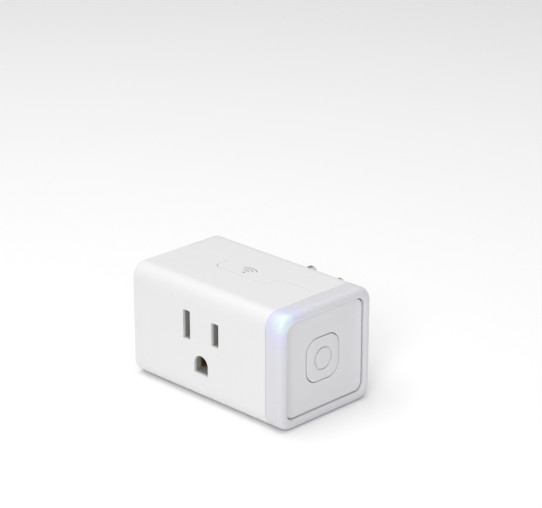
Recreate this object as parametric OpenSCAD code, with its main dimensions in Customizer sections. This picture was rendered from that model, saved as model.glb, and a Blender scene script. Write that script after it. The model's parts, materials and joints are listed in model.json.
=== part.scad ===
// Smart plug for a three-pin wall outlet: a switched, wirelessly controlled adapter.
// Millimetres. +X runs along the plug to its button end, +Y goes back to the wall, +Z is up.
// The origin is on the back face, midway between the two blades.

/* [Case] */
// Length of the whole case along X
body_length = 66.6; // [66:0.1:68]
// Depth of the case from front face to back face
body_depth = 40.3; // [40:0.1:41]
// Height of the case
body_height = 38; // [37.8:0.1:38.6]
// Distance from the left end of the case to the blade centre line
axis_from_left = 31.7; // [31.5:0.1:32]
// Distance from the top of the case to the blade centre line
axis_from_top = 13.7; // [13.6:0.1:14]
// Radius of the four long edges
corner_r = 5.2; // [5:0.1:5.5]
// Radius round the left end
end_fillet = 1.8; // [1.5:0.1:2.4]
// Wall thickness of the case
wall = 2; // [1.8:0.1:2.1]
// Distance from the back face to the parting line
parting = 17.1; // [16.8:0.1:17.4]
// Width of the locking tongue on top
tongue_width = 23; // [20:0.5:24]
// Length of the locking tongue on top
tongue_length = 6.1; // [5:0.1:6.5]

/* [Button end] */
// Length of the diffuser ring along X
ring_length = 6.7; // [6.5:0.1:6.9]
// Width of the ring's rim, seen from the end
rim_width = 3.2; // [3.1:0.1:3.5]
// Radius round the ring's outer end edge
ring_fillet = 2.1; // [1.8:0.1:2.3]
// Bevel round the mouth of the ring's opening
mouth_bevel = 0.7; // [0.5:0.1:0.8]
// Radius of the ring's opening at its corners
opening_r = 2.9; // [2.5:0.1:3]
// Depth of the end panel's edge below the ring's face
panel_edge_depth = 1.2; // [0.9:0.1:1.3]
// Depth of the end panel's floor below the ring's face
panel_depth = 1.8; // [1.6:0.1:1.9]
// Gap round the end panel
panel_gap = 0.3; // [0.2:0.05:0.35]
// Side of the square button
button_size = 14.2; // [13.8:0.1:14.4]
// Corner radius of the button
button_r = 4.5; // [4:0.1:4.8]
// Gap round the button
button_gap = 0.3; // [0.25:0.05:0.35]
// Travel of the button
button_travel = 0.4; // [0.3:0.05:0.4]
// Radius of the ring groove on the button
groove_r = 3.6; // [3.2:0.1:4]

/* [Outlet interface] */
// Distance between the two blades
blade_spacing = 12.7; // [12.6:0.1:12.8]
// Distance from the blade centre line down to the ground pin
ground_drop = 11.9; // [11.8:0.1:12]
// Thickness of a blade
blade_thickness = 1.5; // [1.4:0.05:1.55]
// Width of the hot blade
hot_width = 6.35; // [6.25:0.05:6.5]
// Width of the neutral blade
neutral_width = 7.9; // [7.8:0.05:8]
// Length of a blade beyond the back face
blade_length = 17.6; // [16.5:0.1:18]
// Radius of the ground pin
pin_r = 2.38; // [2.35:0.01:2.4]
// Length of the ground pin beyond the back face
pin_length = 20.6; // [19.5:0.1:21]
// Width of the blade slots in the front
slot_width = 3.1; // [2.9:0.1:3.2]
// Height of the hot slot
hot_slot = 7.8; // [7.6:0.1:8]
// Height of the neutral slot
neutral_slot = 9.6; // [9.4:0.1:9.8]
// Radius of the ground hole's round top
ground_hole_r = 3.05; // [3:0.05:3.15]

/* [Hidden] */
$fn = 64;
eps = 0.01;

// Faces of the case
left_x = -axis_from_left;
right_x = left_x + body_length;
seam_x = right_x - ring_length;
front_y = -body_depth;
top_z = axis_from_top;
bottom_z = top_z - body_height;
mid_y = front_y / 2;
mid_z = (top_z + bottom_z) / 2;
seam_gap = 0.1;

// Button end, counted back from the ring's face
panel_face_x = right_x - panel_depth;
panel_edge_x = right_x - panel_edge_depth;
panel_thickness = 1.5;
panel_back_x = panel_face_x - panel_thickness;
ledge_inset = 5;
cove_r = 1.6;
flange_gap = 0.1;
flange_width = 0.8;
flange_thickness = 0.8;
button_back_x = panel_back_x - flange_gap - flange_thickness;

// Control board and its switch, standing across the case behind the button
control_x = 22.4;
control_thickness = 1.2;
control_face_x = control_x + control_thickness;
switch_size = 6.2;
switch_height = 3.6;
plunger_r = 1.65;
plunger_tip_x = control_face_x + 5;
plunger_gap = 0.05;
dome_base_x = control_face_x + 0.85;
dome_rise = 0.3;
dome_skin = 0.1;

// Receptacle behind the front face
face_skin = 1.1;
carrier_front_y = front_y + face_skin;
carrier_back_y = -24;
chamber_front_y = carrier_front_y + 1.7;
carrier_half_width = 10.6;
carrier_top_z = 7.2;
carrier_bottom_z = -17.2;
leaf_thickness = 0.6;
bridge_y = carrier_back_y - 1.2;

// Power board, parallel to the back face
board_back_y = -6;
board_thickness = 1.6;
board_y = board_back_y - board_thickness;
board_right_x = 21.4;
board_margin = 1;
post_r = 2.4;
screw_r = 1.1;
screw_gap = 0.05;
screw_spots = [[-26.2, 8.6], [17.4, 7.6]];
blade_tail_y = -10;
pin_tail_y = -9;
collar = 0.6;

// Relay: outer box, then the places of its parts along Z
relay_x = 16.4;
relay_width = 10;
relay_base_height = 1.5;
relay_height = 15.3;
relay_bottom_z = -19;
relay_top_z = -0.6;
relay_skin = 0.6;
coil_y = -13.6;
coil_from_z = -15.8;
coil_length = 9;
coil_r = 3.6;
core_r = 1.4;
flange_side = 8;
pole_z = -5.1;
pole_gap = 0.5;
armature_z = pole_z + pole_gap;
armature_thickness = 0.8;
hinge_y = -18.5;

// Transformer centre and core size
transformer = [-21.4, -14.6, 0.2];
core_size = [13, 5.6, 12.4];
core_window = [3, 8.8];
centre_leg = 3.6;

module rounded_square(width, height, radius) {
    translate([radius, 0]) square([width - 2 * radius, height]);
    translate([0, radius]) square([width, height - 2 * radius]);
    for (x = [radius, width - radius], y = [radius, height - radius])
        translate([x, y]) circle(radius);
}

// Extrudes a shape drawn in Y and Z along X
module along_x(from_x, length) {
    translate([from_x, 0, 0]) rotate([90, 0, 90]) linear_extrude(length) children();
}

// Extrudes a shape drawn in X and Z along Y
module along_y(from_y, length) {
    translate([0, from_y + length, 0]) rotate([90, 0, 0]) linear_extrude(length) children();
}

// A round bar along each axis
module rod_x(from, length, radius) {
    translate(from) rotate([0, 90, 0]) cylinder(h = length, r = radius);
}
module rod_y(from, length, radius) {
    translate(from) rotate([-90, 0, 0]) cylinder(h = length, r = radius);
}

// Cross-section of the case in Y and Z, drawn in from the outside by an inset
module case_section(inset, radius) {
    translate([front_y + inset, bottom_z + inset])
        rounded_square(body_depth - 2 * inset, body_height - 2 * inset, radius);
}

// Case block whose end edge is rounded: side is -1 for the left end and 1 for the right
module case_block(from_x, to_x, inset, radius, fillet, side) {
    end_x = side < 0 ? from_x : to_x;
    hull() {
        along_x(side < 0 ? from_x + fillet : from_x, to_x - from_x - fillet)
            case_section(inset, radius, $fn = 48);
        for (a = [0:15:75])
            along_x(end_x - side * fillet * (1 - cos(a)) - (side < 0 ? 0 : eps), eps)
                case_section(inset + fillet * (1 - sin(a)), radius - fillet * (1 - sin(a)), $fn = 48);
    }
}

// Closed left end, open towards the ring
module case_shell() {
    difference() {
        case_block(left_x, seam_x, 0, corner_r, end_fillet, -1);
        along_x(left_x + wall, seam_x - left_x) case_section(wall, corner_r - wall);
    }
}

// Rear part of the case seen from above: it stops short of the left end wall, which belongs to the
// front part, and its tongue locks into the front part
module rear_outline(grow) {
    tip_r = 2.5;
    half = tongue_width / 2 + grow;
    from_x = left_x + wall - grow;
    translate([from_x, -parting - grow]) square([seam_x - from_x + 1, parting + 2]);
    translate([-half, -parting - tongue_length - grow + tip_r])
        square([2 * half, tongue_length]);
    translate([-half + tip_r, -parting - tongue_length - grow])
        square([2 * (half - tip_r), tongue_length]);
    for (s = [-1, 1])
        translate([s * (half - tip_r), -parting - tongue_length - grow + tip_r]) circle(tip_r);
}

module rear_region(grow) {
    translate([0, 0, mid_z]) linear_extrude(body_height) rear_outline(grow);
    from_x = left_x + wall - grow;
    translate([from_x, -parting - grow, bottom_z - 1])
        cube([seam_x - from_x + 1, parting + 2, body_height / 2 + 2]);
}

module blade_slot(width, height, x) {
    translate([x - width / 2, -height / 2]) square([width, height]);
}

module ground_hole() {
    translate([0, -ground_drop]) {
        circle(ground_hole_r);
        translate([-ground_hole_r, -ground_hole_r]) square([2 * ground_hole_r, ground_hole_r]);
    }
}

module receptacle_holes() {
    blade_slot(slot_width, neutral_slot, -blade_spacing / 2);
    blade_slot(slot_width, hot_slot, blade_spacing / 2);
    ground_hole();
}

module front_housing() {
    rib_gap = 0.1;
    color("white") {
        difference() {
            case_shell();
            rear_region(seam_gap);
            along_y(front_y - 1, wall + 2) receptacle_holes();
            translate([-carrier_half_width - seam_gap, carrier_front_y, carrier_bottom_z - seam_gap])
                cube([2 * (carrier_half_width + seam_gap), wall,
                    carrier_top_z - carrier_bottom_z + 2 * seam_gap]);
        }
        for (x = [control_x - 1 - rib_gap, control_face_x + rib_gap],
             z = [bottom_z + wall - eps, top_z - wall - 1.5])
            translate([x, front_y + 8, z]) cube([1, 10, 1.5 + eps]);
    }
}

module rear_cover() {
    fit = 0.05;
    color("white") difference() {
        union() {
            intersection() {
                case_shell();
                rear_region(0);
            }
            for (p = screw_spots)
                rod_y([p[0], board_back_y, p[1]], -board_back_y - wall + eps, post_r);
        }
        for (b = [[-blade_spacing / 2, neutral_width], [blade_spacing / 2, hot_width]])
            along_y(-wall - 1, wall + 2) blade_slot(blade_thickness + 2 * fit, b[1] + 2 * fit, b[0]);
        rod_y([0, -wall - 1, -ground_drop], wall + 2, pin_r + collar + fit);
        for (p = screw_spots)
            rod_y([p[0], board_back_y - 1, p[1]], 4.6, screw_r + screw_gap);
    }
}

// Frosted ring: rounded end edge, a ledge for the panel and four tabs that enter the case
module light_ring() {
    tab_length = 12;
    tab_depth = 1.5;
    tab_thickness = 1.2;
    tab_inset = wall + 0.1;
    color("lavender") {
        difference() {
            case_block(seam_x, right_x, 0, corner_r, ring_fillet, 1);
            along_x(seam_x - 1, ring_length) case_section(ledge_inset, 2);
            along_x(panel_back_x, ring_length) case_section(rim_width, opening_r);
            hull() for (flare = [0, mouth_bevel])
                along_x(right_x - mouth_bevel + flare, eps)
                    case_section(rim_width - flare, opening_r + flare, $fn = 48);
        }
        for (y = [front_y + tab_inset, -tab_inset - tab_thickness])
            translate([seam_x - tab_depth, y, mid_z - tab_length / 2])
                cube([tab_depth + eps, tab_thickness, tab_length]);
        for (z = [bottom_z + tab_inset, top_z - tab_inset - tab_thickness])
            translate([seam_x - tab_depth, mid_y - tab_length / 2, z])
                cube([tab_depth + eps, tab_length, tab_thickness]);
    }
}

module button_section(grow) {
    side = button_size + 2 * grow;
    translate([mid_y - side / 2, mid_z - side / 2]) rounded_square(side, side, button_r + grow);
}

// Dished plate with a coved border and the button's opening
module end_panel() {
    rise = panel_edge_x - panel_face_x;
    edge = rim_width + panel_gap;
    color("gainsboro") difference() {
        along_x(panel_back_x, panel_edge_x - panel_back_x) case_section(edge, opening_r - panel_gap);
        hull() for (a = [0:15:90])
            along_x(panel_face_x + rise * (1 - cos(a)), 1)
                case_section(edge + 0.3 + cove_r * (1 - sin(a)),
                    opening_r - panel_gap + 0.1, $fn = 48);
        along_x(panel_back_x - 1, 6) button_section(button_gap);
    }
}

// Pillow-faced cap with a ring groove, a retaining flange and a post for the switch
module button_cap() {
    groove_width = 0.6;
    groove_depth = 0.35;
    crown = 0.35;
    color("gainsboro") difference() {
        union() {
            along_x(button_back_x + flange_thickness - eps,
                panel_face_x - crown - button_back_x - flange_thickness + 2 * eps) button_section(0);
            hull() for (a = [0:18:90])
                along_x(panel_face_x - crown * (1 - sin(a)) - eps, eps)
                    button_section(-2 * crown * (1 - cos(a)), $fn = 48);
            along_x(button_back_x, flange_thickness) button_section(flange_width);
            rod_x([plunger_tip_x + plunger_gap, mid_y, mid_z],
                button_back_x - plunger_tip_x - plunger_gap + eps, 1.6);
        }
        difference() {
            rod_x([panel_face_x - groove_depth, mid_y, mid_z], 2, groove_r + groove_width / 2);
            rod_x([panel_face_x - 1, mid_y, mid_z], 4, groove_r - groove_width / 2);
        }
    }
}

module switch_body() {
    floor_thickness = 0.8;
    cavity_r = 2.4;
    cavity_top = control_face_x + 2.7;
    color("dimgray") difference() {
        translate([control_face_x, mid_y - switch_size / 2, mid_z - switch_size / 2])
            cube([switch_height, switch_size, switch_size]);
        rod_x([control_face_x + floor_thickness, mid_y, mid_z],
            cavity_top - control_face_x - floor_thickness, cavity_r);
        rod_x([cavity_top - eps, mid_y, mid_z], switch_height, plunger_r + 0.1);
    }
}

// Thin snap disc under the plunger, crowned like the cap of a sphere
module switch_dome() {
    dome_r = 2.2;
    crown = [for (r = [0:0.1:1]) [dome_r * r, dome_rise * (1 - r * r)]];
    raised = [for (p = crown) p + [0, dome_skin]];
    color("silver") translate([dome_base_x, mid_y, mid_z]) rotate([0, 90, 0])
        rotate_extrude() polygon(concat(crown, reversed(raised)));
}

module switch_plunger() {
    clearance = 0.1;
    shoulder_x = dome_base_x + dome_rise + dome_skin + button_travel + clearance;
    shoulder_height = 0.8;
    color("dimgray") {
        rod_x([shoulder_x, mid_y, mid_z], shoulder_height, 2.2);
        rod_x([shoulder_x + shoulder_height - eps, mid_y, mid_z],
            plunger_tip_x - shoulder_x - shoulder_height + eps, plunger_r);
    }
}

// Flat prong with a bevelled tip, a hole, and a shoulder behind the cover
module blade(x, width) {
    bevel = 1.3;
    shoulder = 1;
    half = width / 2;
    color("silver") difference() {
        along_x(x - blade_thickness / 2, blade_thickness) polygon([
            [blade_tail_y, -half], [-wall - 2, -half], [-wall - 2, -half - shoulder],
            [-wall, -half - shoulder], [-wall, -half], [blade_length - bevel, -half],
            [blade_length, -half + bevel], [blade_length, half - bevel],
            [blade_length - bevel, half], [-wall, half], [-wall, half + shoulder],
            [-wall - 2, half + shoulder], [-wall - 2, half], [blade_tail_y, half]]);
        rod_x([x - 2, 11.9, 0], 4, 1.5);
    }
}

module hot_blade() {
    blade(blade_spacing / 2, hot_width);
}

module neutral_blade() {
    blade(-blade_spacing / 2, neutral_width);
}

// Round pin with a bevelled tip, a collar in the cover and a head behind it
module ground_pin() {
    tip = 1.4;
    color("silver") translate([0, 0, -ground_drop]) {
        rod_y([0, -eps, 0], pin_length - tip + eps, pin_r);
        rod_y([0, -wall - eps, 0], wall + eps, pin_r + collar);
        translate([0, pin_length - tip - eps, 0]) rotate([-90, 0, 0])
            cylinder(h = tip + eps, r1 = pin_r, r2 = pin_r - tip);
        rod_y([0, -wall - 1.2, 0], 1.2, 3.6);
        rod_y([0, pin_tail_y, 0], -pin_tail_y - wall - 1.2 + eps, 1.6);
    }
}

function reversed(points) = [for (i = [len(points) - 1:-1:0]) points[i]];
function mirrored(points) = [for (p = points) [-p[0], p[1]]];

// Two sprung leaves that grip a blade, joined by a bridge at the back
module leaves(mouth, waist, body) {
    t = leaf_thickness;
    mouth_y = chamber_front_y + 0.6;
    inner = [[mouth, mouth_y], [waist, mouth_y + 3], [body, mouth_y + 7], [body, bridge_y]];
    outer = [[mouth + t, mouth_y], [waist + t, mouth_y + 3], [body + t, mouth_y + 7],
        [body + t, bridge_y + t]];
    polygon(concat(inner, mirrored(reversed(inner)), mirrored(outer), reversed(outer)));
}

module blade_contact(x, height, tail_x, tail_z, tail_height) {
    color("goldenrod") translate([x, 0, 0]) {
        translate([0, 0, -height / 2]) linear_extrude(height) {
            leaves(1.5, 0.5, 1.2);
            translate([min(tail_x, 0), bridge_y])
                square([max(abs(tail_x), abs(tail_x + leaf_thickness)), leaf_thickness]);
        }
        translate([tail_x, bridge_y + leaf_thickness - eps, tail_z])
            cube([leaf_thickness, board_y - bridge_y - leaf_thickness + eps, tail_height]);
    }
}

module hot_contact() {
    blade_contact(blade_spacing / 2, 6.4, 1.6, -3.2, 2.8);
}

module neutral_contact() {
    blade_contact(-blade_spacing / 2, 8, -blade_thickness / 2 - leaf_thickness, -3, 6);
}

module ground_contact() {
    height = 4.4;
    color("goldenrod") translate([0, 0, -ground_drop - height / 2])
        linear_extrude(height) leaves(2.6, 2.25, 2.4);
}

module contact_carrier() {
    color("dimgray") difference() {
        translate([-carrier_half_width, carrier_front_y, carrier_bottom_z])
            cube([2 * carrier_half_width, carrier_back_y - carrier_front_y,
                carrier_top_z - carrier_bottom_z]);
        along_y(carrier_front_y - 1, 4) receptacle_holes();
        along_y(chamber_front_y, 20) {
            blade_slot(4.6, 10.2, -blade_spacing / 2);
            blade_slot(4.6, 8.4, blade_spacing / 2);
            translate([-3.5, -ground_drop - ground_hole_r]) square([7, 2 * ground_hole_r]);
        }
    }
}

// Bent strip that ties the ground contact to the ground pin
module ground_strap() {
    half = 2;
    low_z = -ground_drop - 2.8;
    color("goldenrod") {
        translate([-half, carrier_back_y - leaf_thickness, low_z])
            cube([2 * half, pin_tail_y - carrier_back_y, leaf_thickness]);
        translate([-half, pin_tail_y - leaf_thickness, low_z])
            cube([2 * half, leaf_thickness, 4.4]);
    }
}

// Strip from the hot blade to the relay's side of the board
module line_strap() {
    from_x = (blade_spacing + blade_thickness) / 2;
    color("goldenrod") translate([from_x, board_y - 0.8, 0.2]) cube([4.2, 0.8, 2.8]);
}

module power_board() {
    slack = 0.3;
    low = [left_x + wall + board_margin, bottom_z + wall + board_margin];
    size = [board_right_x - low[0], body_height - 2 * (wall + board_margin)];
    color("darkgreen") along_y(board_y, board_thickness) difference() {
        translate(low) rounded_square(size[0], size[1], 2);
        blade_slot(blade_thickness + 2 * slack, neutral_width + 2 * slack, -blade_spacing / 2);
        blade_slot(blade_thickness + 2 * slack, hot_width + 2 * slack, blade_spacing / 2);
        translate([0, -ground_drop]) circle(2);
        for (p = screw_spots) translate(p) circle(screw_r + 0.25);
    }
}

module board_screws() {
    head_height = 1.3;
    color("silver") for (p = screw_spots) difference() {
        union() {
            rod_y([p[0], board_y - head_height, p[1]], head_height, 2);
            rod_y([p[0], board_y - eps, p[1]], 4.2, screw_r);
        }
        for (turn = [0, 90])
            translate([p[0], board_y - head_height, p[1]]) rotate([0, turn, 0])
                cube([2.2, 1.2, 0.5], center = true);
    }
}

module relay_box(inset, from_y, to_y) {
    translate([relay_x - relay_width / 2 + inset, from_y, relay_bottom_z + inset])
        cube([relay_width - 2 * inset, to_y - from_y, relay_top_z - relay_bottom_z - 2 * inset]);
}

module relay_base() {
    color("black") relay_box(0, board_y - relay_base_height, board_y);
}

module relay_case() {
    color("royalblue") difference() {
        relay_box(0, board_y - relay_height, board_y - relay_base_height);
        relay_box(relay_skin, board_y - relay_height + relay_skin, board_y);
    }
}

module relay_ring(from_z, length, outer, inner) {
    translate([relay_x, coil_y, from_z]) difference() {
        cylinder(h = length, r = outer);
        translate([0, 0, -1]) cylinder(h = length + 2, r = inner);
    }
}

module relay_bobbin() {
    cheek = 0.8;
    color("ivory") {
        relay_ring(coil_from_z - cheek, coil_length + 2 * cheek, core_r + 0.5, core_r + 0.05);
        for (z = [coil_from_z - cheek, coil_from_z + coil_length])
            translate([relay_x - flange_side / 2, coil_y - flange_side / 2, z]) difference() {
                cube([flange_side, flange_side, cheek]);
                translate([flange_side / 2, flange_side / 2, -1]) cylinder(h = 4, r = core_r + 0.05);
            }
    }
}

module relay_coil() {
    color("peru") relay_ring(coil_from_z + 0.05, coil_length - 0.1, coil_r, core_r + 0.55);
}

module relay_core() {
    color("silver") translate([relay_x, coil_y, coil_from_z - 1.6])
        cylinder(h = pole_z - coil_from_z + 1.6, r = core_r);
}

// Angled iron that carries the field from the coil's foot to the armature's edge
module relay_yoke() {
    half = 3.5;
    foot_z = coil_from_z - 1.6;
    plate = 0.8;
    color("silver") {
        translate([relay_x - half, hinge_y - 0.5, foot_z - plate])
            cube([2 * half, coil_y - hinge_y + 2.5, plate]);
        translate([relay_x - half, hinge_y - 0.5, foot_z - plate])
            cube([2 * half, 0.8, armature_z - 0.15 - foot_z + plate]);
    }
}

module relay_armature() {
    color("silver") translate([relay_x - 3.5, hinge_y - 0.5, armature_z])
        cube([7, 7.4, armature_thickness]);
}

// Leaf on the armature with the moving contact at its tip
module relay_contact_arm() {
    leaf = 0.3;
    contact_y = -10.5;
    color("goldenrod") {
        translate([relay_x - 1.8, hinge_y + 0.4, armature_z + armature_thickness])
            cube([3.6, contact_y - hinge_y + 0.6, leaf]);
        translate([relay_x, contact_y, armature_z + 0.3]) cylinder(h = 0.5 + eps, r = 0.9, $fn = 24);
    }
}

module relay_fixed_contact() {
    contact_y = -10.5;
    color("goldenrod") {
        translate([relay_x - 1.5, contact_y - 0.9, pole_z - 0.8])
            cube([3, board_y - relay_base_height - contact_y + 0.9, 0.4]);
        translate([relay_x, contact_y, pole_z - 0.4 - eps]) cylinder(h = 0.5, r = 0.9, $fn = 24);
    }
}

module centred_block(size, middle) {
    translate(middle) cube(size, center = true);
}

module transformer_core() {
    color("darkslategray") difference() {
        centred_block(core_size, transformer);
        for (s = [-1, 1])
            centred_block([core_window[0], 20, core_window[1]],
                transformer + [s * (centre_leg + core_window[0]) / 2, 0, 0]);
    }
}

// Tube round the centre leg, two cheeks and a foot on the board
module transformer_bobbin() {
    skin = 0.4;
    cheek = [9.4, 11.6, 0.4];
    inner = [centre_leg + 0.04, core_size[1] + 0.04, 20];
    foot_height = board_y - transformer[1] - cheek[1] / 2 + eps;
    color("black") {
        difference() {
            union() {
                centred_block([inner[0] + 2 * skin, inner[1] + 2 * skin, core_window[1] - 0.2],
                    transformer);
                for (s = [-1, 1])
                    centred_block(cheek, transformer + [0, 0, s * (core_window[1] / 2 - 0.3)]);
            }
            centred_block(inner, transformer);
        }
        centred_block([core_size[0], foot_height, core_size[2] - 0.4],
            [transformer[0], board_y - foot_height / 2, transformer[2]]);
    }
}

module transformer_winding() {
    color("gold") difference() {
        centred_block([9.2, 11.2, core_window[1] - 1.2], transformer);
        centred_block([centre_leg + 0.9, core_size[1] + 0.9, 20], transformer);
    }
}

// Can standing on the power board with a pressed groove round its foot
module can_capacitor(x, z, radius, height) {
    difference() {
        rod_y([x, board_y - height, z], height, radius);
        translate([x, board_y - 1.6, z]) rotate([-90, 0, 0]) rotate_extrude()
            translate([radius + 0.3, 0]) circle(0.6, $fn = 24);
    }
}

module bulk_capacitor() {
    color("darkslateblue") can_capacitor(-24.6, -14.8, 4, 12.5);
}

module output_capacitor() {
    color("darkslateblue") can_capacitor(-16.2, -16.2, 3.15, 9);
}

module line_capacitor() {
    color("goldenrod") translate([-11, board_y - 8, 5.2]) cube([10, 8, 5]);
}

// Glass tube between two metal caps
module fuse() {
    fuse_y = board_y - 2.2;
    fuse_z = 7.6;
    color("silver") {
        rod_x([1, fuse_y, fuse_z], 9, 1.9);
        for (x = [0.4, 8]) rod_x([x, fuse_y, fuse_z], 2.6, 2.2);
    }
}

module varistor() {
    color("steelblue") {
        rod_x([11.8, board_y - 4.6, 5.2], 3.2, 4);
        for (z = [3.2, 7.2]) rod_y([13.4, board_y - 1.6, z], 1.6, 0.35);
    }
}

module inductor() {
    color("darkred") {
        for (y = [board_y - 1.2, board_y - 7]) rod_y([-14.2, y, -9.4], 1.2, 2.5);
        rod_y([-14.2, board_y - 6.5, -9.4], 6, 1.9);
    }
}

// Small flat package with a row of legs on each long side
module chip(x, z, size, legs) {
    leg_pitch = size[0] / legs;
    translate([x, board_y - size[1], z]) cube(size);
    for (i = [0:legs - 1], side = [-0.7, size[2] - eps])
        translate([x + (i + 0.3) * leg_pitch, board_y - 0.4, z + side])
            cube([leg_pitch * 0.4, 0.4, 0.7 + eps]);
}

module rectifier() {
    color("black") chip(-9, -20, [4.8, 2.4, 3.8], 2);
}

module controller_chip() {
    color("black") chip(0, -20, [4.9, 1.6, 3.9], 4);
}

module control_board() {
    from = [-37, bottom_z + wall + 0.7];
    size = [28, body_height - 2 * wall - 1.4];
    color("darkgreen") along_x(control_x, control_thickness)
        translate(from) rounded_square(size[0], size[1], 2);
}

// Row of pins that joins the two boards
module pin_header() {
    low_z = 2.2;
    pitch = 2;
    block = 2.4;
    color("black") {
        translate([control_x - block, board_y - block, low_z]) cube([block, block, 4 * pitch]);
        for (i = [0:3]) translate([control_x - block - 0.6, board_y - 0.3, low_z + (i + 0.35) * pitch])
            cube([0.6 + eps, 0.3, 0.6]);
    }
}

module wifi_module() {
    color("darkblue") translate([control_x - 0.8, -36.5, -19]) cube([0.8, 12, 16]);
}

module shield_can() {
    color("silver") difference() {
        translate([control_x - 3, -35.7, -18.2]) cube([2.2, 10.4, 11]);
        translate([control_x - 2.8, -35.5, -18]) cube([3, 10, 10.6]);
    }
}

// Printed aerial: a folded track on the wireless module
module antenna() {
    track = 0.5;
    step = 1.7;
    from = [control_x - 0.9, -35.6, -6.4];
    color("goldenrod") for (i = [0:5]) {
        translate(from + [0, i * step, 0]) cube([0.1, track, 2.6]);
        if (i < 5) translate(from + [0, i * step, i % 2 == 0 ? 2.6 - track : 0])
            cube([0.1, step + track, track]);
    }
}

// The lamp stands at the centre of the case's top front corner
module status_led() {
    color("ivory") difference() {
        translate([control_face_x, front_y + corner_r - 1.4, top_z - corner_r - 1.6])
            cube([1.8, 2.8, 3.2]);
        rod_x([control_face_x + 1.4, front_y + corner_r, top_z - corner_r], 1, 1.1);
    }
}

module light_guide() {
    color("lightcyan") {
        rod_x([control_face_x + 1.85, front_y + corner_r, top_z - corner_r],
            seam_x - control_face_x - 1.85, 1.9);
    }
}

front_housing();
rear_cover();
light_ring();
end_panel();
button_cap();
switch_body();
switch_dome();
switch_plunger();
hot_blade();
neutral_blade();
ground_pin();
hot_contact();
neutral_contact();
ground_contact();
contact_carrier();
ground_strap();
line_strap();
power_board();
board_screws();
relay_base();
relay_case();
relay_bobbin();
relay_coil();
relay_core();
relay_yoke();
relay_armature();
relay_contact_arm();
relay_fixed_contact();
transformer_core();
transformer_bobbin();
transformer_winding();
bulk_capacitor();
output_capacitor();
line_capacitor();
fuse();
varistor();
inductor();
rectifier();
controller_chip();
control_board();
pin_header();
wifi_module();
shield_can();
antenna();
status_led();
light_guide();
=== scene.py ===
"""Smart plug: its looks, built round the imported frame.

Lengths are in metres, in the frame's own axes: +X runs to the button end, +Y back to the wall and
+Z up. The outer pieces are modelled here and replace the plain CAD ones. The inner pieces keep their
CAD shapes, and each has its own finish.
"""

import json
import logging
import math
from collections.abc import Callable, Iterable
from dataclasses import dataclass
from enum import Enum

import bmesh
import bpy
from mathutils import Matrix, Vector


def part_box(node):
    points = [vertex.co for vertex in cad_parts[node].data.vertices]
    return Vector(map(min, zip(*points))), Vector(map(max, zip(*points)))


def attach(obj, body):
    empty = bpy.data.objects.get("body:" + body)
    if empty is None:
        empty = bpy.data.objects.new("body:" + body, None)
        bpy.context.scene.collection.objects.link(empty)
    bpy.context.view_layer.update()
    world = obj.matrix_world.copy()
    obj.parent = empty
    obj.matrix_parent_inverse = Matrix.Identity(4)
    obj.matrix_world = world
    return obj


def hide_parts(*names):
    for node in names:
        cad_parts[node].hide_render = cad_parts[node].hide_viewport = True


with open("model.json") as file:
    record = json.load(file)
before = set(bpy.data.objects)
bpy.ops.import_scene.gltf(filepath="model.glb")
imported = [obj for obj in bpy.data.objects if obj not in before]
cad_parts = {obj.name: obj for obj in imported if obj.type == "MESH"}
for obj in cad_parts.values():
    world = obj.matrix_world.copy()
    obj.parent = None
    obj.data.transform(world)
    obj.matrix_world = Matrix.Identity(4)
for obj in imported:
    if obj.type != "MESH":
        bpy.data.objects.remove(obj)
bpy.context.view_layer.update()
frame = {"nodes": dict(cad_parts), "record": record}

MM = 0.001
CORNER_STEPS = 14
log = logging.getLogger("smart_plug")


class Side(Enum):
    """A direction that a plate can face: its unit vector and the turn of a plane that faces it."""

    RIGHT = ((1, 0, 0), (0, math.pi / 2, 0))
    LEFT = ((-1, 0, 0), (0, -math.pi / 2, 0))
    FRONT = ((0, -1, 0), (math.pi / 2, 0, 0))
    BACK = ((0, 1, 0), (-math.pi / 2, 0, 0))
    TOP = ((0, 0, 1), (0, 0, 0))

    @property
    def way(self) -> Vector:
        """Returns the unit vector of the side."""
        return Vector(self.value[0])

    @property
    def turn(self) -> tuple[float, float, float]:
        """Returns the rotation that turns a new plane to face the side."""
        return self.value[1]


class Element(Enum):
    """What is selected in edit mode."""

    VERTS = "VERT"
    EDGES = "EDGE"
    FACES = "FACE"


class Cut(Enum):
    """How one solid changes another."""

    AWAY = "DIFFERENCE"
    JOIN = "UNION"
    KEEP = "INTERSECT"


class Body(Enum):
    """The bodies of the frame that the new pieces ride on."""

    CASE = "case"
    BUTTON = "button"


# Modelling


def select_nothing() -> None:
    """Leaves no object selected."""
    bpy.ops.object.select_all(action="DESELECT")


def make_active(piece: bpy.types.Object) -> None:
    """Selects one object alone and makes it the active one."""
    select_nothing()
    piece.select_set(True)
    bpy.context.view_layer.objects.active = piece


def from_wall(inset: float, rise: float, steps: int = 6) -> list[tuple[float, float]]:
    """A quarter round that leaves an upright wall and ends level.

    Args:
        inset: how far the round reaches inwards.
        rise: how far it climbs, or falls if negative.
        steps: how many facets it has.

    Returns:
        Points of (inset, rise), counted from the wall.
    """
    angles = [math.pi / 2 * i / steps for i in range(1, steps + 1)]
    return [(inset * (1 - math.cos(a)), rise * math.sin(a)) for a in angles]


def from_level(inset: float, rise: float, steps: int = 6) -> list[tuple[float, float]]:
    """A quarter round that leaves a level face and ends upright.

    Args:
        inset: how far the round reaches inwards.
        rise: how far it climbs, or falls if negative.
        steps: how many facets it has.

    Returns:
        Points of (inset, rise), counted from the level face.
    """
    angles = [math.pi / 2 * i / steps for i in range(1, steps + 1)]
    return [(inset * math.sin(a), rise * (1 - math.cos(a))) for a in angles]


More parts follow.
